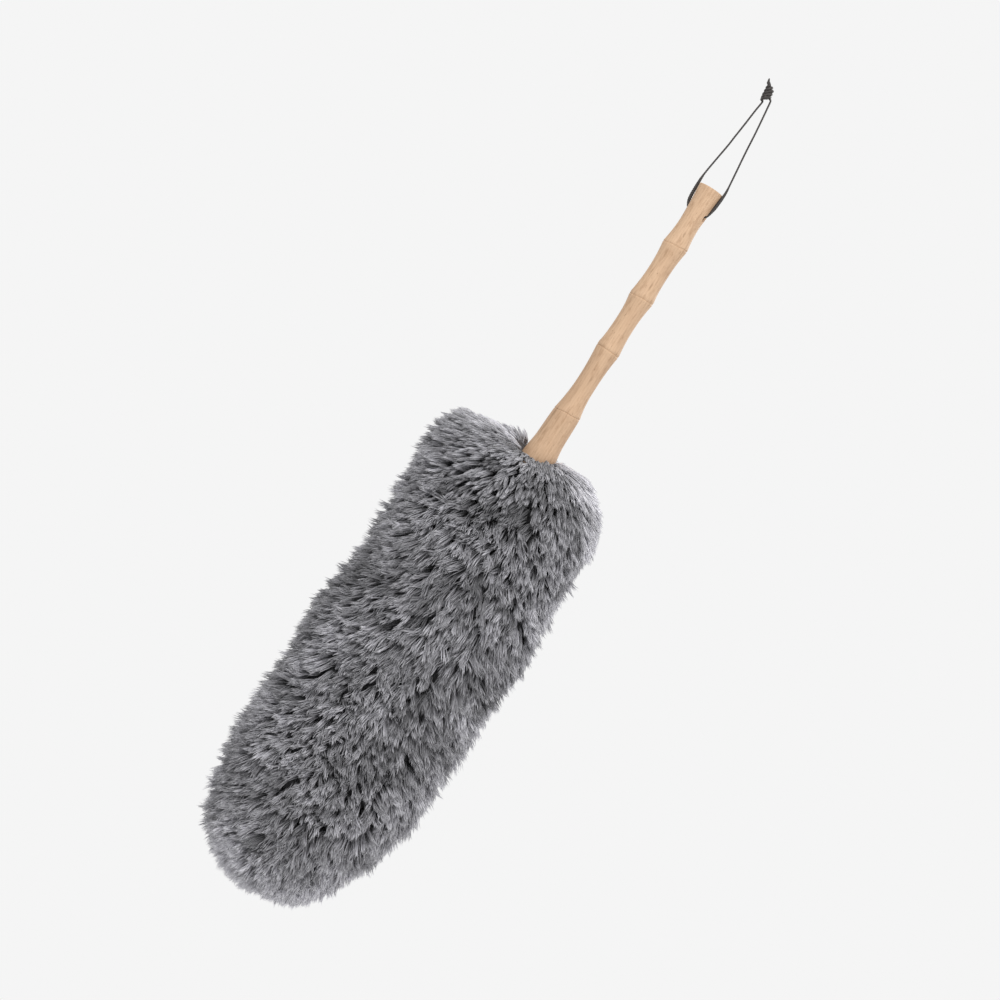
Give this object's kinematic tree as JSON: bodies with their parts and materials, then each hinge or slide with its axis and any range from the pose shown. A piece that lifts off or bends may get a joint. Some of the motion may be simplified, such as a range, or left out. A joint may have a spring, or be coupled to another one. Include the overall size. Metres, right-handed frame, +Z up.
{
  "type": "hand duster",
  "caption": "Hand duster with a long round plush head, a slim turned wooden handle shaped like bamboo, and a tied cord loop to hang it by.",
  "frame": {"origin": "the point inside the top of the cord loop, just under the knot, that rests on the hook", "axes": "+Z up along the handle and head, from the tip to the hook; +X along the handle's cross-bore, towards the viewer's right in the picture"},
  "size_m": [0.1462, 0.1466, 0.687],
  "materials": {
    "handle_wood": "pale turned wood, lightly oiled, matt",
    "core_wood": "plain dowel",
    "plush": "long marled grey microfibre pile",
    "cord": "waxed dark cord",
    "tack_steel": "plain"
  },
  "bodies": {
    "hanging_loop": {"hanging_cord": "cord", "cord_knot": "cord"},
    "duster": {"handle": "handle_wood", "core_dowel": "core_wood", "strip_tack_upper": "tack_steel", "strip_tack_lower": "tack_steel", "plush_turn_01": "plush", "plush_turn_02": "plush", "plush_turn_03": "plush", "plush_turn_04": "plush", "plush_turn_05": "plush", "plush_turn_06": "plush", "plush_turn_07": "plush", "plush_turn_08": "plush", "plush_turn_09": "plush"}
  },
  "joints": [
    {"name": "loop_swing", "type": "hinge", "parent": "hanging_loop", "child": "duster", "pos_m": [0, 0, -0.095], "axis": [1, 0, 0], "range_deg": [-150, 150]}
  ]
}
